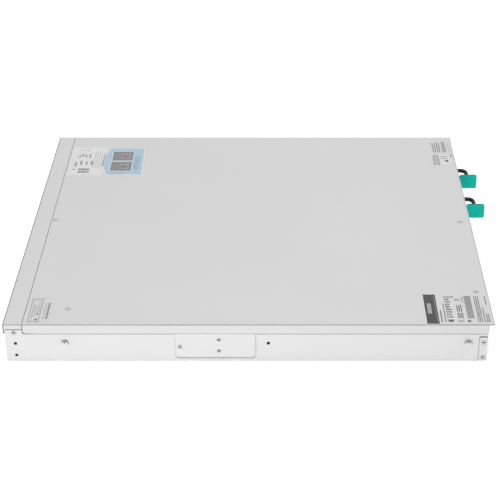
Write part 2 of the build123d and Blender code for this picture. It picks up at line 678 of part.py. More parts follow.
def supply_latch(x):
    """Release latch: upright thumb paddle outside, arm through the slot, pin in the lugs."""
    paddle = block(x + LATCH_X[0], x + LATCH_X[1], *LATCH_PADDLE, *LATCH_Z)
    paddle = fillet(paddle.edges().filter_by(Axis.X), 1.8)
    rim = paddle.faces().sort_by(Axis.X)[0].edges() + paddle.faces().sort_by(Axis.X)[-1].edges()
    paddle = fillet(rim, 0.6)
    pivot_x = x + LATCH_PIVOT[0]
    arm = block(pivot_x - 0.9, pivot_x + 0.9, LATCH_PIVOT[1], LATCH_PADDLE[0] + 2, *LATCH_ARM_Z)
    boss = rod_z(pivot_x, LATCH_PIVOT[1], *LATCH_ARM_Z, 1.25)
    pin = rod_z(pivot_x, LATCH_PIVOT[1], 11.0, 29.0, LATCH_PIN_R)
    return paddle + arm + boss + pin


def supply_board(x):
    """Circuit board with its contact tongue, transformer, choke and capacitors."""
    board = block(x - 33, x + 33, SUPPLY_FRONT + 4, back(446.0), *TONGUE_Z)
    board += block(x - 19.5, x + 19.5, back(288.0), SUPPLY_FRONT + 5, *TONGUE_Z)
    top = TONGUE_Z[1] - 0.2
    board += block(x - 26, x + 6, back(340.0), back(372.0), top, 34.0)
    board += block(x + 12, x + 30, back(332.0), back(360.0), top, 28.0)
    for cap_y in (back(392.0), back(418.0)):
        board += rod_z(x + 14, cap_y, top, 36.0, 11.0)
        board += block(x - 28, x - 24, cap_y - 11, cap_y + 11, top, 33.0)
    return board


def build_supplies():
    save("psu_cage", psu_cage())
    save("power_board", power_board())
    for number, x in enumerate(SUPPLY_PLACES, start=1):
        fan = (x + SUPPLY_FAN_X, SUPPLY_FAN_FRONT, SUPPLY_FAN_Z, SUPPLY_FAN_SIZE)
        save(f"supply_case_{number}", supply_case(x))
        save(f"supply_handle_{number}", supply_handle(x))
        save(f"supply_inlet_{number}", supply_inlet(x))
        save(f"supply_latch_{number}", supply_latch(x))
        save(f"supply_board_{number}", supply_board(x))
        save(f"supply_fan_frame_{number}", fan_frame(*fan))
        save(f"supply_fan_rotor_{number}", fan_rotor(*fan))


os.makedirs("parts", exist_ok=True)
build_case()
build_cover()
build_drives()
build_fans()
build_mainboard()
build_supplies()
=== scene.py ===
"""Looks of a one-unit rack storage server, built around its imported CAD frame.

Sizes are in millimetres, in the CAD model's frame; Builder turns them into metres.
"""
import json
import math
import random

import bmesh
import bpy
from mathutils import Matrix, Vector


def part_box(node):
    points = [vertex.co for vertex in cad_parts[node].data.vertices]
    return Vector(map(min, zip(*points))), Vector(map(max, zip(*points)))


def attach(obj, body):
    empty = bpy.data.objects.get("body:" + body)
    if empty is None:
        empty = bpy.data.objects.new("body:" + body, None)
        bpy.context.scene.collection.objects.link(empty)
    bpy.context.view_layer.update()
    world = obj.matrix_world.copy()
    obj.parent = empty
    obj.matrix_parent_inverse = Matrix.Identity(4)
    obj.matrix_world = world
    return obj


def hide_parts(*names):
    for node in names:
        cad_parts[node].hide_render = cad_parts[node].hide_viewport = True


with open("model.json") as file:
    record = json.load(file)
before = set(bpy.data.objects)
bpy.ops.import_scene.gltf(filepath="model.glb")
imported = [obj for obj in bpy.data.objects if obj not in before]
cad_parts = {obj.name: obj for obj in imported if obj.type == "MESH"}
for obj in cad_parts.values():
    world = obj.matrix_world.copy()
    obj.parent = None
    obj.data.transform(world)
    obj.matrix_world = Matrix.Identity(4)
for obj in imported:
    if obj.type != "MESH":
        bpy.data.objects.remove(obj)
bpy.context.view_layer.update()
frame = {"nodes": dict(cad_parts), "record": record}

MM = 0.001


def box_mm(node):
    """Lowest and highest corners of a CAD node."""
    return [[value / MM for value in corner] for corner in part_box(node)]


# ---- places, from the frame ----
LEFT_EDGE = box_mm("top_cover")[1][0]
COVER_TOP = box_mm("top_cover")[1][2]
COVER_REAR = box_mm("top_cover")[1][1]
FRONT_EDGE = box_mm("front_frame")[0][1]
WALL_OUT = box_mm("side_walls")[1][0]
PLATE_FACE = box_mm("side_plates")[1][0]
BOARD_TOP = box_mm("mainboard")[1][2]


def back(distance):
    """Y of a plane this far behind the front frame's leading edge."""
    return FRONT_EDGE + distance


def inward(distance):
    """X of a plane this far in from the cover's left edge, which is at the +X side."""
    return LEFT_EDGE - distance


# ---- as in the CAD: places on the side are (behind the front edge, height) ----
EAR_HOLES = [(11.05, 21.0), (11.05, 7.2)]
PLATE_HOLES = [(213.3, 26.2), (213.3, 13.1)]
STRIP_SCREW = (10.4, 33.7)
PLATE_SCREW = (174.4, 18.0)
BRACKET_SCREWS = [(476.6, 22.3), (476.6, 4.7)]
STUDS = [(60.3, 21.9), (461.1, 21.9)]
COVER_SCREWS = [(0.0, 23.4), (185.9, 61.2), (4.5, 474.8), (153.3, 474.1)]   # x, behind
STUD_NECK = (2.25, 2.2)      # radius, and how far out of the wall it ends
STUD_HEAD = (3.3, 3.39)      # the same two
STUD_DOT = (2.2, 0.9)        # painted shade dot: how far above the head's middle, and radius
SLOT_DEEP = 0.45             # cross slots of the side's and the cover's screws
EAR_HOLE_FLOOR = 1.19        # in from the wall's face, where a dark disc of painted shade lies in each front hole
FLANGE_LOW = 33.5            # lower edge of the cover's side flanges
STRIP_LIP_LOW = 38.4         # lower edge of the front strip's lips
SEAM = (18.9, 19.5)          # between strip and cover, behind the front edge
PLATE = (169.7, 249.9)       # side plate, behind the front edge
PLATE_LOW = 5.3
BRACKET = (472.2, 480.3)     # rear bracket, behind the front edge
BRACKET_TOP = 28.2
# corners of the painted shade line along a folded top edge: in from the side, down from the top
FOLD_SECTION = ((0.4, 0.42), (0.01, 0.26), (0.26, 0.01))
SHADE_RIM_THIN = 0.01              # rims of painted shade round screws and holes
MARK_THIN = 0.02             # lines of painted shade on the cover and the strip
LINE_THIN = 0.04             # soft lines of painted shade on the wall
LINE_PROUD = 0.06            # dark lines of painted shade on the wall


# ---------------------------------------------------------------- materials

def new_material(name):
    material = bpy.data.materials.new(name)
    material.use_nodes = True
    return material, material.node_tree.nodes, material.node_tree.links


def noise_node(nodes, links, scale, detail, stretch):
    """Noise laid out in object space, so it keeps its real size on every part."""
    where = nodes.new("ShaderNodeTexCoord")
    mapping = nodes.new("ShaderNodeMapping")
    mapping.inputs["Scale"].default_value = stretch
    noise = nodes.new("ShaderNodeTexNoise")
    noise.inputs["Scale"].default_value = scale
    noise.inputs["Detail"].default_value = detail
    links.new(where.outputs["Object"], mapping.inputs["Vector"])
    links.new(mapping.outputs["Vector"], noise.inputs["Vector"])
    return noise


NOISE_RANGE = (0.3, 0.7)     # where nearly all of a noise's values lie
UNEVEN = 0.08                # how far roughness strays to either side


def spread(nodes, links, source, low, high):
    """Map a noise value to a range."""
    remap = nodes.new("ShaderNodeMapRange")
    remap.inputs["From Min"].default_value = NOISE_RANGE[0]
    remap.inputs["From Max"].default_value = NOISE_RANGE[1]
    remap.inputs["To Min"].default_value = low
    remap.inputs["To Max"].default_value = high
    links.new(source, remap.inputs["Value"])
    return remap.outputs["Result"]


def surface(name, colour, roughness, metallic=0.0, grain=2500.0, relief=0.00002, mottle=0.03,
            patch=25.0, stretch=(1, 1, 1), coat=0.0, specular=0.5):
    """A finish with fine relief, soft colour variation and uneven roughness, all procedural.

    grain and patch are noise scales per metre, relief is the bump's height in metres, and
    mottle is the share by which the colour varies.
    """
    material, nodes, links = new_material(name)
    shader = nodes["Principled BSDF"]
    shader.inputs["Metallic"].default_value = metallic
    shader.inputs["Coat Weight"].default_value = coat
    shader.inputs["Specular IOR Level"].default_value = specular
    patches = noise_node(nodes, links, patch, 4.0, stretch)
    mix = nodes.new("ShaderNodeMix")
    mix.data_type = "RGBA"
    mix.inputs["A"].default_value = [c * (1 - mottle) for c in colour] + [1]
    mix.inputs["B"].default_value = [min(1, c * (1 + mottle)) for c in colour] + [1]
    links.new(spread(nodes, links, patches.outputs["Fac"], 0, 1), mix.inputs["Factor"])
    links.new(mix.outputs["Result"], shader.inputs["Base Color"])
    fine = noise_node(nodes, links, grain, 3.0, stretch)
    links.new(spread(nodes, links, fine.outputs["Fac"], roughness - UNEVEN, roughness + UNEVEN),
              shader.inputs["Roughness"])
    bump = nodes.new("ShaderNodeBump")
    bump.inputs["Strength"].default_value = 1.0
    bump.inputs["Distance"].default_value = relief
    links.new(fine.outputs["Fac"], bump.inputs["Height"])
    links.new(bump.outputs["Normal"], shader.inputs["Normal"])
    return material


def ink(name, colour):
    """Printing ink: flat colour with slight print unevenness."""
    return surface(name, colour, 0.45, grain=6000, relief=0.000002, mottle=0.05, patch=400)


def glow(name, colour, strength):
    """Clear status lens lit from inside."""
    material = surface(name, colour, 0.2, grain=900, relief=0.000004, mottle=0.05, coat=0.4)
    shader = material.node_tree.nodes["Principled BSDF"]
    shader.inputs["Emission Color"].default_value = (*colour, 1)
    shader.inputs["Emission Strength"].default_value = strength
    return material


def galvanised(name, colour, roughness):
    """Zinc-coated sheet: angular spangle in the roughness of a metal base."""
    material = surface(name, colour, roughness, metallic=0.85, grain=900, relief=0.000012, mottle=0.05)
    nodes, links = material.node_tree.nodes, material.node_tree.links
    shader = nodes["Principled BSDF"]
    where = nodes.new("ShaderNodeTexCoord")
    cells = nodes.new("ShaderNodeTexVoronoi")
    cells.inputs["Scale"].default_value = 260
    links.new(where.outputs["Object"], cells.inputs["Vector"])
    grey = nodes.new("ShaderNodeRGBToBW")
    links.new(cells.outputs["Color"], grey.inputs["Color"])
    links.new(spread(nodes, links, grey.outputs["Val"], roughness - 0.03, roughness + 0.03),
              shader.inputs["Roughness"])
    return material


PAINT = surface("powder_coat", (0.49, 0.49, 0.49), 0.5, grain=2200, relief=0.000012, mottle=0.008, patch=9)
COVER_PAINT = surface("cover_coat", (0.46, 0.46, 0.46), 0.5, grain=2200, relief=0.000012, mottle=0.008,
                      patch=9)
ZINC = galvanised("zinc_sheet", (0.62, 0.63, 0.64), 0.4)
PLATED = surface("plated_steel", (0.68, 0.68, 0.69), 0.3, metallic=0.95, grain=1500, relief=0.000004)
DULL_STEEL = surface("dull_steel", (0.5, 0.5, 0.505), 0.5, metallic=0.3, grain=1500, relief=0.000004)
# painted shade: dark and grey lines, floors and rims laid where gaps, slots, folds, seams and hollows fall
# in shade
SHADE = surface("shaded_gap", (0.03, 0.03, 0.03), 0.8, specular=0.1)
FAINT_SHADE = surface("faint_painted_shade", (0.28, 0.28, 0.28), 0.8, specular=0.1)
FOLD_SHADE = surface("fold_line", (0.06, 0.06, 0.06), 0.7, specular=0.1)
SEAM_SHADE = surface("seam_painted_shade", (0.13, 0.13, 0.13), 0.8, specular=0.1)
BEND_SHADE = surface("bend_line", (0.38, 0.38, 0.38), 0.5, specular=0.3)
BEZEL = surface("bezel_plastic", (0.12, 0.121, 0.125), 0.5, grain=1800, relief=0.00003, mottle=0.08)
DARK = surface("dark_plastic", (0.028, 0.029, 0.032), 0.5, grain=1800, relief=0.00003, mottle=0.08)
BLACK = surface("black_coat", (0.006, 0.006, 0.007), 0.5, grain=1500, relief=0.00002, mottle=0.1,
                specular=0.3)
TEAL = surface("teal_plastic", (0.002, 0.54, 0.44), 0.45, grain=1600, relief=0.00002, mottle=0.06, patch=90,
               specular=0.1)
# painted shade: a darker teal for the latches' top faces, which get less light than their sides
TEAL_SHADED = surface("teal_plastic_shaded", (0.001, 0.20, 0.16), 0.5, grain=1600, relief=0.00002, mottle=0.06,
                    patch=90, specular=0.1)
SOCKET_BLACK = surface("socket_plastic", (0.02, 0.02, 0.022), 0.45, grain=1800, relief=0.00002)
SOCKET_BLUE = surface("socket_blue", (0.02, 0.12, 0.5), 0.4, grain=1800, relief=0.00001)
FAN_BLACK = surface("fan_plastic", (0.025, 0.025, 0.028), 0.42, grain=1400, relief=0.00002, mottle=0.08)
BOARD = surface("solder_resist", (0.012, 0.10, 0.045), 0.3, grain=1200, relief=0.00001, mottle=0.12,
                coat=0.3)
FINS = surface("mill_aluminium", (0.78, 0.79, 0.8), 0.33, metallic=1.0, grain=700, relief=0.000006,
               stretch=(1, 0.05, 1))
CAST = surface("drive_cast", (0.42, 0.43, 0.45), 0.42, metallic=0.9, grain=1100, relief=0.00003)
SHELL = surface("tin_shell", (0.7, 0.7, 0.69), 0.28, metallic=0.95, grain=900, relief=0.000006)
GOLD = surface("gold_contact", (0.83, 0.6, 0.25), 0.22, metallic=1.0, grain=900, relief=0.000002)
FILM = surface("label_film", (0.455, 0.455, 0.455), 0.4, grain=1500, relief=0.000004, mottle=0.01)
WHITE_FILM = surface("white_film", (0.515, 0.515, 0.512), 0.4, grain=1500, relief=0.000004, mottle=0.01)
INK_BLACK = ink("ink_black", (0.022, 0.022, 0.024))
INK_DARK = ink("ink_dark", (0.055, 0.055, 0.057))
INK_MID = ink("ink_mid", (0.15, 0.15, 0.15))
# grey print on the labels; also drawn as painted shadow round the side plates and as painted shade round
# their holes
SOFT_INK_AND_SHADE = ink("soft_ink_and_shade", (0.25, 0.25, 0.25))
INK_PALE = ink("ink_pale", (0.33, 0.33, 0.33))
INK_BLUE = ink("ink_blue", (0.285, 0.39, 0.465))
INK_DEEP_BLUE = ink("ink_deep_blue", (0.16, 0.27, 0.37))
INK_CYAN = ink("ink_cyan", (0.20, 0.42, 0.50))
INK_PICTURE = ink("ink_picture", (0.15, 0.15, 0.155))
INK_PICTURE_LIGHT = ink("ink_picture_light", (0.23, 0.22, 0.22))
LED_GREEN = glow("led_green", (0.15, 0.8, 0.25), 0.6)
LED_BLUE = glow("led_blue", (0.15, 0.45, 0.9), 0.6)
LED_AMBER = glow("led_amber", (0.9, 0.45, 0.08), 0.2)

NODE_FINISH = {
    "case_paint": PAINT, "zinc_sheet": ZINC, "plated_steel": PLATED, "dark_plastic": DARK,
    "handle_black": BLACK, "latch_teal": TEAL, "inlet_plastic": SOCKET_BLACK, "fan_plastic": FAN_BLACK,
    "circuit_board": BOARD, "fin_aluminium": FINS, "drive_cast": CAST, "socket_shell": SHELL,
    "label_film": FILM,
}
OWN_FINISH = {"top_cover": COVER_PAINT, "front_strip": COVER_PAINT, "cover_screws": COVER_PAINT,
              "chassis_screws": DULL_STEEL, "front_frame": BEZEL}


def finish_nodes():
    """Every CAD node takes the finish of its material slot in the record, or its own."""
    slots = {part["node"]: part["material_slot"] for part in frame["record"]["subparts"]}
    for name, node in frame["nodes"].items():
        node.data.materials.clear()
        node.data.materials.append(OWN_FINISH.get(name, NODE_FINISH[slots[name]]))


# ---------------------------------------------------------------- mesh helpers

class Builder:
    """Collects closed solids into one mesh, each face with its own material."""

    def __init__(self, name):
        self.name = name
        self.mesh = bmesh.new()
        self.materials = []
        self.place = Matrix.Identity(4)

    def aim(self, origin, out):
        """Lay what follows on a surface: its x and y run along it, its z points out of it."""
        self.place = Matrix.Translation(origin) @ Vector(out).to_track_quat("Z", "Y").to_matrix().to_4x4()

    def point(self, x, y, z):
        return self.mesh.verts.new(self.place @ Vector((x, y, z)) * MM)

    def slot(self, material):
        if material not in self.materials:
            self.materials.append(material)
        return self.materials.index(material)

    def sides(self, low_loop, high_loop):
        count = len(low_loop)
        faces = []
        for index in range(count):
            after = (index + 1) % count
            faces.append(self.mesh.faces.new((low_loop[index], low_loop[after], high_loop[after],
                                              high_loop[index])))
        return faces

    def prism(self, outline, low, high, material):
        """Closed prism over a flat outline of (x, y) points, counter-clockwise from above."""
        bottom = [self.point(x, y, low) for x, y in outline]
        top = [self.point(x, y, high) for x, y in outline]
        faces = [self.mesh.faces.new(top), self.mesh.faces.new(bottom[::-1])] + self.sides(bottom, top)
        chosen = self.slot(material)
        for face in faces:
            face.material_index = chosen

    def box(self, low, high, material):
        outline = [(low[0], low[1]), (high[0], low[1]), (high[0], high[1]), (low[0], high[1])]
        self.prism(outline, low[2], high[2], material)

    def side_box(self, side, x_range, y_range, z_range, material):
        """Box on one side of the case; x_range is the one for the +X side."""
        x0, x1 = sorted(side * x for x in x_range)
        self.box((x0, y_range[0], z_range[0]), (x1, y_range[1], z_range[1]), material)

    def disc(self, x, y, radius, low, high, material, steps=20):
        self.prism(circle(x, y, radius, steps), low, high, material)

    def ring(self, x, y, inner, outer, low, high, material):
        """Flat washer, closed all round."""
        loops = []
        for radius, height in ((inner, low), (outer, low), (outer, high), (inner, high)):
            loops.append([self.point(*spot, height) for spot in circle(x, y, radius, RING_STEPS)])
        chosen = self.slot(material)
        for index in range(4):
            for face in self.sides(loops[index], loops[(index + 1) % 4]):
                face.material_index = chosen

    def cross(self, low, reach, half, thin, material):
        """Two crossed bars round the point aimed at, one a little higher than the other."""
        self.box((-reach, -half, low), (reach, half, low + thin), material)
        self.box((-half, -reach, low), (half, reach, low + thin + 0.01), material)

    def slot_floor(self, material):
        """Floor of a cross slot, dark as painted shade."""
        self.cross(0, 1.55, 0.38, 0.06, material)

    def screw(self, radius=1.9, high=0.8):
        """Plated screw head with a dark cross on it, painted shade for its cross slot."""
        self.disc(0, 0, radius, 0, high, PLATED)
        self.cross(high, 1.1, 0.25, 0.02, SHADE)

    def done(self, body, slot, replaces=None):
        data = bpy.data.meshes.new(self.name)
        bmesh.ops.recalc_face_normals(self.mesh, faces=self.mesh.faces)
        self.mesh.to_mesh(data)
        self.mesh.free()
        for material in self.materials:
            data.materials.append(material)
        piece = bpy.data.objects.new(self.name, data)
        bpy.context.scene.collection.objects.link(piece)
        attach(piece, body)
        if replaces:
            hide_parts(replaces)


RING_STEPS = 24
CORNER_STEPS = 5


def circle(x, y, radius, steps):
    turns = [math.tau * step / steps for step in range(steps)]
    return [(x + radius * math.cos(turn), y + radius * math.sin(turn)) for turn in turns]


def rounded(x0, x1, y0, y1, radius):
    """Outline of a rectangle with rounded corners, counter-clockwise."""
    x0, x1 = sorted((x0, x1))
    y0, y1 = sorted((y0, y1))
    corners = [(x1 - radius, y0 + radius, -90), (x1 - radius, y1 - radius, 0),
               (x0 + radius, y1 - radius, 90), (x0 + radius, y0 + radius, 180)]
    outline = []
    for centre_x, centre_y, start in corners:
        for step in range(CORNER_STEPS + 1):
            angle = math.radians(start + 90 * step / CORNER_STEPS)
            outline.append((centre_x + radius * math.cos(angle), centre_y + radius * math.sin(angle)))
    return outline


# ---------------------------------------------------------------- labels

FILM_T = 0.06
PRINT_T = 0.01
FILM_CORNER = 1.0


class Label:
    """Film with printing on it, lying on a level face.  Places are (back, inward)."""

    def __init__(self, name, seed, height=COVER_TOP):
        self.builder = Builder(name)
        self.random = random.Random(seed)
        self.height = height
        self.film_top = height + FILM_T

    def film(self, back_range, in_range, material):
        outline = rounded(inward(in_range[0]), inward(in_range[1]), back(back_range[0]), back(back_range[1]),
                          FILM_CORNER)
        self.builder.prism(outline, self.height, self.film_top, material)

    def patch(self, back_range, in_range, material, layer=1):
        """Printed rectangle; a higher layer lies over a lower one."""
        low = (inward(in_range[1]), back(back_range[0]), self.film_top)
        high = (inward(in_range[0]), back(back_range[1]), self.film_top + layer * PRINT_T)
        self.builder.box(low, high, material)

    def spot(self, behind, across, size, material):
        """Small printed square."""
        half = size / 2
        self.patch((behind - half, behind + half), (across - half, across + half), material)

    def shape(self, points, material, layer=1):
        outline = [(inward(across), back(behind)) for behind, across in points]
        area = sum(a[0] * b[1] - b[0] * a[1] for a, b in zip(outline, outline[1:] + outline[:1]))
        if area < 0:
            outline.reverse()
        self.builder.prism(outline, self.film_top, self.film_top + layer * PRINT_T, material)

    def words(self, back_range, in_range, rows, material, longest, fill=0.85, layer=1,
              along_back=False, thick=0.6):
        """Rows of greeked words: bars of uneven length that spell nothing.

        longest is the longest word, fill the shortest row as a share of its room, and thick the
        share of a row's pitch that the bars take up.
        """
        stack, run = (in_range, back_range) if along_back else (back_range, in_range)
        pitch = (stack[1] - stack[0]) / rows
        for row in range(rows):
            start = stack[0] + (row + (1 - thick) / 2) * pitch
            depth = (start, start + thick * pitch)
            at = run[0]
            stop = run[0] + (run[1] - run[0]) * self.random.uniform(fill, 1.0)
            while at < stop - 0.4:
                length = min(self.random.uniform(0.9, longest), stop - at)
                word = (at, at + length)
                places = (word, depth) if along_back else (depth, word)
                self.patch(*places, material, layer)
                at += length + self.random.uniform(0.4, 0.8)

    def sketch(self, back_range, in_range, material):
        """Small line picture of no particular thing: four short strokes, and one across them."""
        near, far = back_range
        start, stop = in_range
        middle = (start + stop) / 2
        for _ in range(4):
            behind = self.random.uniform(near, far - 0.8)
            across = self.random.uniform(start, middle)
            self.patch((behind, behind + 0.7), (across, self.random.uniform(middle, stop)), material)
        across = self.random.uniform(start, stop - 1.5)
        self.patch((near, far), (across, across + 1.4), material, 2)

    def bars(self, back_range, in_range, material, pitch):
        """Stripes of uneven width, like a code of bars but with no code in it."""
        across = in_range[0]
        while across < in_range[1] - 0.3:
            width = self.random.uniform(0.3, 0.75) * pitch
            self.patch(back_range, (across, across + width), material)
            across += width + self.random.uniform(0.2, 0.5) * pitch

    def done(self, body="cover", replaces="cover_labels"):
        self.builder.done(body, "label_film", replaces)


def service_label():
    """White sheet with small pictures, beside a blue field with two grey pictures of parts."""
    label = Label("service_label", 11)
    label.film((21, 62.5), (323.5, 401), WHITE_FILM)
    label.words((28.5, 44), (391.0, 394.0), 1, INK_PALE, longest=3, along_back=True)
    for start in (29.6, 33.7, 37.8, 41.9):
        label.sketch((start, start + 3.2), (371, 384), SOFT_INK_AND_SHADE)
    for start in (27.0, 33.4, 39.8, 46.2):
        label.sketch((start, start + 3.6), (351, 364.5), SOFT_INK_AND_SHADE)
    label.patch((47.0, 48.0), (350.5, 364.0), SOFT_INK_AND_SHADE)
    label.sketch((26, 31), (346.5, 353.5), SOFT_INK_AND_SHADE)
    label.sketch((26.6, 30.0), (339.0, 345.0), SOFT_INK_AND_SHADE)
    label.words((33.5, 47.5), (330.6, 344.0), 2, INK_MID, fill=0.97, longest=2.4, along_back=True,
                thick=0.78)
    for index in range(5):
        start = 49.0 + 2.8 * index
        label.words((start, start + 1.5), (344, 390), 1, INK_PALE, fill=0.95, longest=7)
    label.words((24.5, 55), (324.6, 326.6), 1, INK_PALE, longest=1.6, along_back=True)
    edge = [(66.4, 325.9), (60.4, 352.5), (60.8, 377.0), (66.0, 399.0), (108.8, 399.0), (110.6, 325.9)]
    label.shape(edge, WHITE_FILM)
    field = [(67.6, 327.3), (61.6, 352.6), (62.0, 376.2), (67.2, 397.6), (107.7, 397.6), (109.4, 327.3)]
    label.shape(field, INK_BLUE, 2)
    for in_range in ((337.0, 360.5), (364.5, 388.5)):
        picture(label, (71.5, 96.0), in_range)
    label.words((98.0, 104.6), (339.0, 384.0), 3, INK_DEEP_BLUE, fill=0.7, layer=3, longest=5)
    label.words((71.0, 92.0), (330.0, 333.4), 1, INK_DEEP_BLUE, fill=0.8, layer=3, longest=3,
                along_back=True)
    label.patch((96.0, 108.2), (329.3, 332.9), INK_CYAN, 3)
    label.done()


def picture(label, back_range, in_range):
    """Grey line picture of a part in its place, with a pale border."""
    near, far = back_range
    start, stop = in_range
    border = 0.8
    label.patch((near - border, far + border), (start - border, stop + border), WHITE_FILM, 3)
    label.patch(back_range, in_range, INK_PICTURE, 4)
    for share in (0.10, 0.20, 0.30):
        at = near + (far - near) * share
        label.patch((at, at + 0.7), (start + 2, stop - 2), INK_PICTURE_LIGHT, 5)
    label.patch((near + 10, far - 2.5), (start + 4, stop - 4), INK_PICTURE_LIGHT, 5)
    label.patch((near + 11.5, far - 5), (start + 7, stop - 9), INK_PICTURE, 6)


def handling_label():
    """Pale film with a framed block of small print, and two lines of print behind it."""
    label = Label("handling_label", 23)
    label.film((20.5, 47.5), (2.0, 50.0), FILM)
    for start in (23.6, 34.1):
        label.patch((start, start + 0.9), (4.2, 48.6), SOFT_INK_AND_SHADE)
    for start in (4.2, 45.6):
        label.patch((24.5, 34.1), (start, start + 3.0), INK_PALE)
    label.words((26.0, 27.3), (11, 38), 1, INK_MID, longest=3)
    label.words((28.3, 29.6), (15, 37.5), 1, INK_MID, longest=3)
    for across in (9.8, 19.8):
        label.spot(31.9, across, 2.3, INK_DARK)
    label.words((30.8, 33.4), (23.5, 44), 2, SOFT_INK_AND_SHADE, longest=4)
    label.words((38.2, 39.5), (10, 40.5), 1, SOFT_INK_AND_SHADE, longest=9)
    label.words((40.2, 43.6), (10.7, 41.7), 1, INK_MID, fill=0.97, longest=4)
    label.done()


def rating_label():
    """Large label: dark band with a plain light emblem, then columns of small print."""
    label = Label("rating_label", 37)
    label.film((419, 485), (1.0, 56.8), FILM)
    label.patch((419.4, 431.7), (1.6, 56.5), INK_BLACK)
    label.patch((429.7, 430.4), (3.8, 53.8), INK_MID, 2)
    for across in (20.5, 25.3, 30.1, 34.9):
        label.patch((422.0, 425.8), (across, across + 4.2), INK_PALE, 2)
        label.patch((423.4, 424.6), (across + 1.2, across + 2.8), INK_BLACK, 3)
    label.words((433.2, 435.8), (4.8, 26.6), 1, INK_DARK, fill=0.97, longest=3)
    label.words((437.4, 439.1), (4.8, 44.6), 1, INK_DARK, longest=9)
    label.words((440.3, 447.0), (12, 53.8), 9, INK_DARK, fill=0.7, longest=2.6, along_back=True)
    label.spot(448.2, 51.9, 2.4, INK_DARK)
    label.patch((440.8, 446.2), (5.2, 9.4), INK_DARK)
    label.words((450.4, 456.6), (44.6, 48.4), 3, INK_DARK, longest=2)
    label.words((450.8, 456.9), (12, 22), 3, INK_DARK, fill=0.95, longest=3, thick=0.75)
    label.words((450.8, 456.9), (23, 37), 3, INK_DARK, fill=0.95, longest=5)
    label.words((450.5, 456.4), (5.2, 9.0), 3, INK_DARK, longest=2)
    label.patch((458.0, 458.8), (41.4, 51.1), INK_DARK)
    label.bars((460.4, 467.3), (11.5, 53.8), INK_DARK, pitch=0.7)
    label.patch((459.8, 463.1), (4.8, 8.2), INK_DARK)
    label.words((470.0, 475.4), (4.8, 53.8), 3, INK_DARK, fill=0.95, longest=3)
    label.words((476.4, 478.0), (4.8, 33.9), 1, INK_DARK, longest=7)
    label.words((478.7, 482.6), (4.8, 21.0), 2, INK_DARK, longest=3)
    label.words((480.9, 482.6), (37, 53.8), 1, INK_DARK, longest=6)
    label.done()


def notice_label():
    """Small label at the rear corner of the -X side: print, a dense block and a boxed triangle."""
    label = Label("notice_label", 41)
    label.film((458, 484), (350, 420), FILM)
    label.words((461.0, 471.3), (387, 416.5), 4, INK_MID, longest=5)
    label.bars((473.0, 478.0), (387, 417.6), INK_MID, pitch=0.7)
    label.words((480.7, 482.0), (386.5, 414), 1, SOFT_INK_AND_SHADE, longest=9)
    label.words((459.0, 467.2), (353, 381), 3, INK_MID, longest=4)
    label.patch((468.4, 480.6), (354.5, 380.0), WHITE_FILM)
    for across in (369.4, 375.0):
        label.patch((469.1, 478.0), (across, across + 1.8), INK_MID, 2)
    label.shape([(477.3, 366.8), (478.1, 359.2), (471.7, 363.0)], INK_DARK, 2)
    label.patch((481.4, 482.4), (373, 381.6), INK_DARK)
    label.done()


def drive_label(number):
    """Printed sheet on a drive's lid, and the lid's four screws."""
    low, high = box_mm(f"hard_drive_{number}")
    middle = LEFT_EDGE - (low[0] + high[0]) / 2
    label = Label(f"drive_label_{number}", 50 + number, high[2])
    label.film((40, 124), (middle - 36, middle + 36), WHITE_FILM)
    label.patch((44, 58), (middle - 33, middle + 33), INK_BLUE)
    label.words((62, 84), (middle - 32, middle + 20), 5, INK_MID, longest=8)
    label.bars((90, 100), (middle - 32, middle + 12), INK_DARK, pitch=0.9)
    label.words((104, 120), (middle - 32, middle + 30), 4, SOFT_INK_AND_SHADE, longest=6)
    for behind in (34, 130):
        for side in (-38, 38):
            label.builder.aim((inward(middle) + side, back(behind), high[2]), (0, 0, 1))
            label.builder.disc(0, 0, 1.9, 0, 0.1, PLATED)
    label.done(f"tray_{number}", None)


def supply_label(number):
    """Printed sheet on a supply's top."""
    low, high = box_mm(f"supply_case_{number}")
    middle = LEFT_EDGE - (low[0] + high[0]) / 2
    label = Label(f"supply_label_{number}", 60 + number, high[2])
    label.film((336, 412), (middle - 30, middle + 30), WHITE_FILM)
    label.words((340, 352), (middle - 26, middle + 22), 2, INK_DARK, longest=7)
    label.words((356, 380), (middle - 26, middle + 26), 6, INK_MID, longest=6)
    label.bars((386, 396), (middle - 26, middle + 14), INK_DARK, pitch=0.9)
    label.words((399, 409), (middle - 26, middle + 20), 3, SOFT_INK_AND_SHADE, longest=5)
    label.done(f"supply_{number}", None)


# ---------------------------------------------------------------- slits and fasteners

def fold_line(name, body, start, end):
    """Dark line of painted shade, three-sided in section, that lies along both folded top edges."""
    lines = Builder(name)
    lines.place = Matrix.Rotation(math.radians(90), 4, "X")
    for side in (-1, 1):
        section = [(side * (LEFT_EDGE - inset), COVER_TOP - down) for inset, down in FOLD_SECTION]
        lines.prism(section if side > 0 else section[::-1], -back(end), -back(start), FOLD_SHADE)
    lines.done(body, "case_paint")


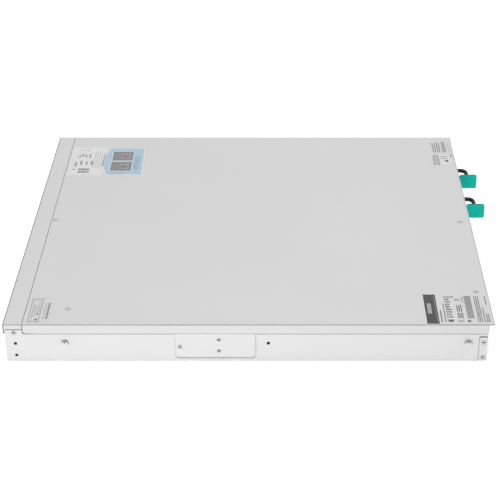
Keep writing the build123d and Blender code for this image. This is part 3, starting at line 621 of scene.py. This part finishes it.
def wall_shade_lines():
    """Painted shade: dark lines on the walls under the cover's flanges and the front strip's lips, and in
    the seam.
    """
    shade_strips = Builder("wall_shade_lines")
    lip_start = 2.2
    flange_start = 20.6
    dark_end = 31.0          # from here to the rear the painted shade under the flange is faint
    # each: start, end, lower and upper edge, how proud of the wall, material
    lines = ((lip_start, SEAM[0], STRIP_LIP_LOW - 1.5, STRIP_LIP_LOW - 0.9, LINE_PROUD, SHADE),
             (flange_start, dark_end, FLANGE_LOW - 1.45, FLANGE_LOW - 0.9, LINE_PROUD, SHADE),
             (dark_end, 479.0, FLANGE_LOW - 1.8, FLANGE_LOW - 0.2, LINE_THIN, FAINT_SHADE),
             (SEAM[0] - 0.2, SEAM[1] + 0.1, FLANGE_LOW - 0.9, STRIP_LIP_LOW, LINE_PROUD, SEAM_SHADE))
    for side in (-1, 1):
        for start, end, low, high, proud, material in lines:
            shade_strips.side_box(side, (WALL_OUT, WALL_OUT + proud), (back(start), back(end)), (low, high),
                           material)
        # darker painted shade deep in the gaps under the front ends of the lip and the flange
        for start, end, top in ((lip_start, SEAM[0], STRIP_LIP_LOW),
                                (flange_start, 27.8, FLANGE_LOW)):
            shade_strips.side_box(side, (WALL_OUT - 1.0, WALL_OUT + LINE_PROUD), (back(start), back(end)),
                           (top - 0.88, top - 0.1), SHADE)
    shade_strips.done("chassis", "case_paint")


def seam_painted_shade():
    """Dark strips of painted shade in the seam between the front strip and the cover, on top and down both
    sides.
    """
    seam_strips = Builder("seam_painted_shade")
    gap = 0.04
    start = back(SEAM[0] + gap)
    end = back(SEAM[1] - gap)
    half = LEFT_EDGE - 0.45
    seam_strips.box((-half, start, COVER_TOP - 1.15), (half, end, COVER_TOP - 0.35), SEAM_SHADE)
    for side in (-1, 1):
        seam_strips.side_box(side, (half, half - 0.5), (start, end), (STRIP_LIP_LOW, COVER_TOP - 1.2), SEAM_SHADE)
    seam_strips.done("chassis", "dark_plastic")


def edge_lines():
    """Painted shade: a bend line near the cover's rear edge, and a dark line along the front strip's leading
    edge.
    """
    half = LEFT_EDGE - 0.6
    top = COVER_TOP + MARK_THIN
    bend = Builder("cover_bend_line")
    bend.box((-half, COVER_REAR - 1.5, COVER_TOP), (half, COVER_REAR - 0.1, top), BEND_SHADE)
    bend.done("cover", "case_paint")
    lead = Builder("strip_edge_shade")
    lead.box((-half, back(0.5), COVER_TOP), (half, back(0.9), top), SHADE)
    lead.done("chassis", "case_paint")


def rail_studs():
    """Headed studs, with a ring of painted shade round each on the wall and a dot of painted shade near the
    top of the head.
    """
    neck_radius, neck_end = STUD_NECK
    head_radius, head_end = STUD_HEAD
    dot_rise, dot_radius = STUD_DOT
    studs = Builder("rail_stud_heads")
    for side in (-1, 1):
        for behind, height in STUDS:
            studs.aim((side * WALL_OUT, back(behind), height), (side, 0, 0))
            studs.disc(0, 0, neck_radius, 0, neck_end, DULL_STEEL)
            studs.disc(0, 0, head_radius, neck_end, head_end, DULL_STEEL, steps=32)
            studs.disc(0, dot_rise, dot_radius, head_end, head_end + 0.005, FOLD_SHADE)
            studs.ring(0, 0, neck_radius + 0.05, head_radius + 0.1, 0, 0.15, FAINT_SHADE)
    studs.done("chassis", "plated_steel", "rail_studs")


def plate_shadow():
    """Soft dark line round the raised side plates, widest along their lower edge."""
    shadow = Builder("plate_shadow_line")
    beside = 0.3
    outline = rounded(back(PLATE[0] - beside), back(PLATE[1] + beside), PLATE_LOW - 2.0, FLANGE_LOW - 1.5,
                      3.9)
    for side in (-1, 1):
        shadow.aim((side * WALL_OUT, 0, 0), (side, 0, 0))
        shadow.prism([(side * y, z) for y, z in outline], 0, LINE_THIN, SOFT_INK_AND_SHADE)
    shadow.done("chassis", "case_paint")


def wall_details():
    """Small dark details of both sides, all of them painted shade.

    They are a line in the gap over each rear bracket, dark floors in the front holes, rims round the side
    plate's holes, and the floors of the screws' cross slots and rims round the screws.
    """
    details = Builder("side_shade_details")
    for side in (-1, 1):
        out = (side, 0, 0)
        details.place = Matrix.Identity(4)
        details.side_box(side, (WALL_OUT - 1.15, WALL_OUT + 0.03),
                         (back(BRACKET[0] + 0.6), back(BRACKET[1] - 0.8)),
                         (BRACKET_TOP, BRACKET_TOP + 1.2), SHADE)
        for behind, height in EAR_HOLES:
            details.aim((side * (WALL_OUT - EAR_HOLE_FLOOR), back(behind), height), out)
            details.disc(0, 0, 1.7, 0, 0.05, SHADE)
        for behind, height in PLATE_HOLES:
            details.aim((side * PLATE_FACE, back(behind), height), out)
            details.ring(0, 0, 1.6, 2.1, 0, SHADE_RIM_THIN, SOFT_INK_AND_SHADE)
        for face, places in ((WALL_OUT, [STRIP_SCREW] + BRACKET_SCREWS), (PLATE_FACE, [PLATE_SCREW])):
            for behind, height in places:
                details.aim((side * (face - SLOT_DEEP), back(behind), height), out)
                details.slot_floor(SHADE)
                details.ring(0, 0, 1.9, 2.3, SLOT_DEEP, SLOT_DEEP + SHADE_RIM_THIN, FAINT_SHADE)
    details.done("chassis", "plated_steel")


def cover_details():
    """Floors of the cover screws' cross slots, and soft rims round the screws, all painted shade."""
    details = Builder("cover_screw_shade")
    for x, behind in COVER_SCREWS:
        details.aim((x, back(behind), COVER_TOP - SLOT_DEEP), (0, 0, 1))
        details.slot_floor(FAINT_SHADE)
        details.aim((x, back(behind), COVER_TOP), (0, 0, 1))
        details.ring(0, 0, 2.0, 2.6, 0, SHADE_RIM_THIN, BEND_SHADE)
    details.done("cover", "plated_steel")


# ---------------------------------------------------------------- front

def front_details():
    """Lens in the power button, and a bright ring round it."""
    low, high = box_mm("power_button")
    centre = ((low[0] + high[0]) / 2, low[1], (low[2] + high[2]) / 2)
    radius = (high[0] - low[0]) / 2
    lens = Builder("power_lens")
    lens.aim(centre, (0, -1, 0))
    lens.disc(0, 0, 1.0, 0, 0.15, LED_GREEN)
    lens.done("power_button", "dark_plastic")
    ring = Builder("power_button_ring")
    ring.aim(centre, (0, -1, 0))
    ring.ring(0, 0, radius + 0.08, radius + 0.26, -4.0, 0.1, PLATED)
    ring.done("chassis", "plated_steel")


TRAY_LENS_HEIGHT = 27.0
RIDGE_START = 28.6           # from the tray's middle to the first ridge
RIDGE_PITCH = 1.6
RIDGE_MIDDLE = 17.0          # height of the ridges' middle
RIDGE_HALF = (0.35, 6.5)


def tray_details(number):
    """Two status lenses on the bezel, and grip ridges near the lever's free end."""
    tray_low, tray_high = box_mm(f"drive_tray_{number}")
    middle = (tray_low[0] + tray_high[0]) / 2
    lenses = Builder(f"tray_lenses_{number}")
    for offset, material in ((39.0, LED_GREEN), (44.0, LED_BLUE)):
        lenses.aim((middle + offset, tray_low[1], TRAY_LENS_HEIGHT), (0, -1, 0))
        lenses.disc(0, 0, 0.9, 0, 0.2, material)
    lenses.done(f"tray_{number}", "dark_plastic")
    ridges = Builder(f"lever_ridges_{number}")
    lever_front = box_mm(f"tray_lever_{number}")[0][1]
    across, along = RIDGE_HALF
    for index in range(3):
        ridges.aim((middle + RIDGE_START + RIDGE_PITCH * index, lever_front, RIDGE_MIDDLE), (0, -1, 0))
        ridges.box((-across, -along, 0), (across, along, 0.35), DARK)
    ridges.done(f"lever_{number}", "dark_plastic")


# ---------------------------------------------------------------- rear

JACK_COUNT = 4
JACK_HALF = 5.8              # room inside a socket's liner: half width, floor and ceiling
JACK_FLOOR = 12.0
JACK_CEILING = 19.8
LINER = 0.2                  # thickness of the liner's floor and ceiling
LINER_WALL = 0.19            # a hair less than the liner's room in the socket
WIRE_PITCH = 1.02
LAMP_HALF = 1.3


def network_details():
    """Liner, eight contacts and two lamps for each network socket."""
    low, high = box_mm("network_jacks")
    rear = high[1]
    pitch = (high[0] - low[0]) / JACK_COUNT
    inner = rear - 13.9
    mouth = rear - 0.6
    details = Builder("network_contacts")
    for index in range(JACK_COUNT):
        centre = low[0] + pitch * (index + 0.5)
        x0 = centre - JACK_HALF
        x1 = centre + JACK_HALF
        details.box((x0, inner, JACK_FLOOR - LINER), (x1, mouth, JACK_FLOOR), SOCKET_BLACK)
        details.box((x0, inner, JACK_CEILING), (x1, mouth, JACK_CEILING + LINER), SOCKET_BLACK)
        for start, end in ((x0 - LINER_WALL, x0), (x1, x1 + LINER_WALL)):
            details.box((start, inner, JACK_FLOOR - LINER_WALL), (end, mouth, JACK_CEILING + LINER_WALL),
                        SOCKET_BLACK)
        details.box((x0, rear - 13.99, JACK_FLOOR), (x1, rear - 13.8, JACK_CEILING), SOCKET_BLACK)
        for wire in range(8):
            x = centre + (wire - 3.5) * WIRE_PITCH
            details.box((x - 0.18, rear - 12.5, 18.7), (x + 0.18, rear - 2.5, 19.1), GOLD)
        for offset, material in ((-5.5, LED_GREEN), (5.5, LED_AMBER)):
            lamp = centre + offset
            details.box((lamp - LAMP_HALF, rear, 20.6), (lamp + LAMP_HALF, rear + 0.15, 21.8), material)
    details.done("chassis", "socket_shell")


USB_OPENINGS = (10.0, 18.4)  # lower edges of the two openings
TONGUE_LOW = 2.85            # from an opening's lower edge
TONGUE_HIGH = 4.75
CONTACT_PITCH = 2.2


def usb_details():
    """Blue tongues with four contacts under each."""
    low, high = box_mm("usb_ports")
    rear = high[1]
    x0 = low[0] + 2.05
    x1 = high[0] - 2.05
    middle = (x0 + x1) / 2
    details = Builder("usb_tongues")
    for opening in USB_OPENINGS:
        under = opening + TONGUE_LOW
        details.box((x0, rear - 13.9, under), (x1, rear - 1.45, opening + TONGUE_HIGH), SOCKET_BLUE)
        for index in range(4):
            x = middle + (index - 1.5) * CONTACT_PITCH
            details.box((x - 0.5, rear - 10, under - 0.1), (x + 0.5, rear - 2, under), GOLD)
    details.done("chassis", "socket_shell")


PANEL_SCREWS = ((-57.5, 31.5), (70.0, 38.5), (206.5, 38.5), (101.0, 8.0), (206.5, 8.0))   # x, height


def panel_details():
    """Screws of the rear panel."""
    panel_rear = box_mm("rear_panel")[1][1]
    screws = Builder("rear_panel_screws")
    for x, height in PANEL_SCREWS:
        screws.aim((x, panel_rear, height), (0, 1, 0))
        screws.screw()
    screws.done("chassis", "plated_steel")


INLET_X = -20.0              # inlet, fan and lamp, from the supply's middle
FAN_X = 13.4
LAMP_X = 34.0
LAMP_HEIGHT = 7.0
BLADE_HALF = (1.04, 2.04)    # across, up
FAN_SCREW = (16.6, 16.2)     # from the fan's middle
PIN_RISE = 0.2               # the latch's hinge pin stands this much above its paddle


def supply_middle(number):
    """X and height of the middle of a supply's rear face, and the face's y."""
    low, high = box_mm(f"supply_case_{number}")
    return (low[0] + high[0]) / 2, (low[2] + high[2]) / 2, high[1]


def inlet_blades(number):
    """The three pins of a supply's mains inlet."""
    middle, centre_z, rear = supply_middle(number)
    across, up = BLADE_HALF
    blades = Builder(f"inlet_blades_{number}")
    for offset, rise in ((-7.0, -2.0), (0.0, 2.4), (7.0, -2.0)):
        x = middle + INLET_X + offset
        z = centre_z + rise
        blades.box((x - across, rear - 15.1, z - up), (x + across, rear - 3.35, z + up), PLATED)
    blades.done(f"supply_{number}", "plated_steel")


def supply_fittings(number):
    """Fan screws, lamp and fan sticker on a supply's rear face."""
    middle, centre_z, rear = supply_middle(number)
    fan_x = middle + FAN_X
    fittings = Builder(f"supply_fittings_{number}")
    for side_x in (-FAN_SCREW[0], FAN_SCREW[0]):
        for side_z in (-FAN_SCREW[1], FAN_SCREW[1]):
            fittings.aim((fan_x + side_x, rear, centre_z + side_z), (0, 1, 0))
            fittings.screw(radius=1.7, high=0.6)
    fittings.aim((middle + LAMP_X, rear, LAMP_HEIGHT), (0, 1, 0))
    fittings.disc(0, 0, 1.2, 0, 0.4, LED_GREEN)
    fan_rear = box_mm(f"supply_fan_frame_{number}")[1][1]
    fittings.aim((fan_x, fan_rear, centre_z), (0, 1, 0))
    fittings.ring(0, 0, 2.4, 7.6, 0, 0.08, WHITE_FILM)
    fittings.done(f"supply_{number}", "plated_steel")


def latch_top_shade(number):
    """Deep teal top of a latch's paddle: painted shade for the top face, which gets less light than the
    sides.
    """
    low, high = box_mm(f"supply_latch_{number}")
    top = high[2] - PIN_RISE
    inset = 0.35
    top_sheet = Builder(f"latch_top_shade_{number}")
    top_sheet.box((low[0] + inset, high[1] - 19.4, top), (high[0] - inset, high[1] - 1.4, top + 0.05), TEAL_SHADED)
    top_sheet.done(f"latch_{number}", "latch_teal")


# ---------------------------------------------------------------- mainboard

# x and behind of a chip's middle, size, height
CHIPS = [(0, 300, 22, 1.8), (-32, 262, 14, 1.5), (0, 404, 15, 1.6), (150, 384, 18, 1.8),
         (182, 420, 12, 1.3), (62, 420, 10, 1.3), (90, 250, 12, 1.3), (-40, 340, 10, 1.2)]
STICK_STARTS = (268, 310)    # memory sticks, which lie flat
STICK_TOP = 4.2              # above the board
MEMORY_PITCH = 8.2


def board_details():
    """Chips, coils, capacitors, coin cell and connectors on the mainboard, and the memory's chips."""
    parts = Builder("board_components")
    for x, behind, size, high in CHIPS:
        parts.box((x - size / 2, back(behind - size / 2), BOARD_TOP),
                  (x + size / 2, back(behind + size / 2), BOARD_TOP + high), SOCKET_BLACK)
    half = 3.2               # of a capacitor and of the coil beside it
    for index in range(6):
        behind = 304 + 11 * index
        parts.disc(20, back(behind), half, BOARD_TOP, BOARD_TOP + 8, DULL_STEEL)
        parts.box((27, back(behind - half), BOARD_TOP), (33.4, back(behind + half), BOARD_TOP + 5), CAST)
    parts.disc(-34, back(420), 10, BOARD_TOP, BOARD_TOP + 3.2, SHELL, steps=32)
    parts.box((-46, back(232), BOARD_TOP), (-12, back(238), BOARD_TOP + 9), DARK)
    parts.box((20, back(232), BOARD_TOP), (60, back(237), BOARD_TOP + 9), SOCKET_BLUE)
    for start in STICK_STARTS:
        for index in range(8):
            x = 135.5 + MEMORY_PITCH * index
            parts.box((x, back(start + 8), BOARD_TOP + STICK_TOP),
                      (x + 6.2, back(start + 18), BOARD_TOP + STICK_TOP + 1), SOCKET_BLACK)
    parts.done("chassis", "dark_plastic")


# ---------------------------------------------------------------- stage

def area_light(name, place, target, side, power):
    """Square light; place, target and side are in metres, power in watts."""
    data = bpy.data.lights.new(name, "AREA")
    data.shape = "RECTANGLE"
    data.size = side
    data.size_y = side
    data.energy = power
    light = bpy.data.objects.new(name, data)
    light.location = place
    light.rotation_euler = (Vector(target) - Vector(place)).to_track_quat("-Z", "Y").to_euler()
    bpy.context.scene.collection.objects.link(light)


FLOOR_ALBEDO = 0.4
FLOOR_GLOW = 0.75
FLOOR_REACH = 6.0            # metres
FLOOR_DROP = 0.0002          # metres under the case, so that the two never share a plane
SKY_LOW = 0.7                # strength at the horizon
SKY_HIGH = 0.45              # strength straight above


def build_floor():
    """Pale table that is lit a little from below, as a light table is."""
    reach = FLOOR_REACH
    corners = [(-reach, -reach, 0), (reach, -reach, 0), (reach, reach, 0), (-reach, reach, 0)]
    floor_mesh = bpy.data.meshes.new("floor")
    floor_mesh.from_pydata(corners, [], [(0, 1, 2, 3)])
    floor = bpy.data.objects.new("floor", floor_mesh)
    floor.location.z = -FLOOR_DROP
    bpy.context.scene.collection.objects.link(floor)
    paper = surface("floor_paper", [FLOOR_ALBEDO] * 3, 0.85, grain=300, relief=0.00001, mottle=0.004)
    shader = paper.node_tree.nodes["Principled BSDF"]
    shader.inputs["Emission Color"].default_value = (1, 1, 1, 1)
    shader.inputs["Emission Strength"].default_value = FLOOR_GLOW
    floor_mesh.materials.append(paper)


def build_sky():
    """Soft surround, brighter low down than overhead."""
    world = bpy.data.worlds.new("studio")
    bpy.context.scene.world = world
    world.use_nodes = True
    nodes, links = world.node_tree.nodes, world.node_tree.links
    where = nodes.new("ShaderNodeTexCoord")
    split = nodes.new("ShaderNodeSeparateXYZ")
    ramp = nodes.new("ShaderNodeMapRange")
    ramp.inputs["To Min"].default_value = SKY_LOW
    ramp.inputs["To Max"].default_value = SKY_HIGH
    links.new(where.outputs["Generated"], split.inputs["Vector"])
    links.new(split.outputs["Z"], ramp.inputs["Value"])
    nodes["Background"].inputs["Color"].default_value = (1, 1, 1, 1)
    links.new(ramp.outputs["Result"], nodes["Background"].inputs["Strength"])


def build_lights():
    area_light("key", (-0.4, -0.35, 4.7), (0, 0, 0), 1.1, 162)
    area_light("fill", (1.3, -0.22, 0.24), (0, 0, 0), 0.5, 8.9)
    area_light("rim", (-0.9, 0.25, 0.9), (-0.1, 0, 0), 0.6, 1.6)
    bpy.context.scene.view_settings.view_transform = "Standard"


CAMERA_PLACE = (1.3852, 0.02925, 0.8018)   # metres
CAMERA_DOWN = 29.9           # degrees under the horizon
CAMERA_LENS = 101.75         # focal length for a sensor 36 mm wide
CAMERA_SHIFT = -0.0568


def build_camera():
    data = bpy.data.cameras.new("camera")
    data.lens = CAMERA_LENS
    data.sensor_width = 36
    data.shift_x = CAMERA_SHIFT
    camera = bpy.data.objects.new("camera", data)
    camera.location = CAMERA_PLACE
    camera.rotation_euler = (math.radians(90 - CAMERA_DOWN), 0, math.radians(90))
    bpy.context.scene.collection.objects.link(camera)
    bpy.context.scene.camera = camera


build_camera()
build_floor()
build_sky()
build_lights()
finish_nodes()
service_label()
handling_label()
rating_label()
notice_label()
fold_line("cover_fold_lines", "cover", 19.6, 486.2)
fold_line("strip_fold_lines", "chassis", 0.6, 18.5)
wall_shade_lines()
seam_painted_shade()
edge_lines()
rail_studs()
plate_shadow()
wall_details()
cover_details()
front_details()
network_details()
usb_details()
panel_details()
board_details()
for number in (1, 2, 3, 4):
    tray_details(number)
    drive_label(number)
for number in (1, 2):
    supply_label(number)
    inlet_blades(number)
    supply_fittings(number)
    latch_top_shade(number)
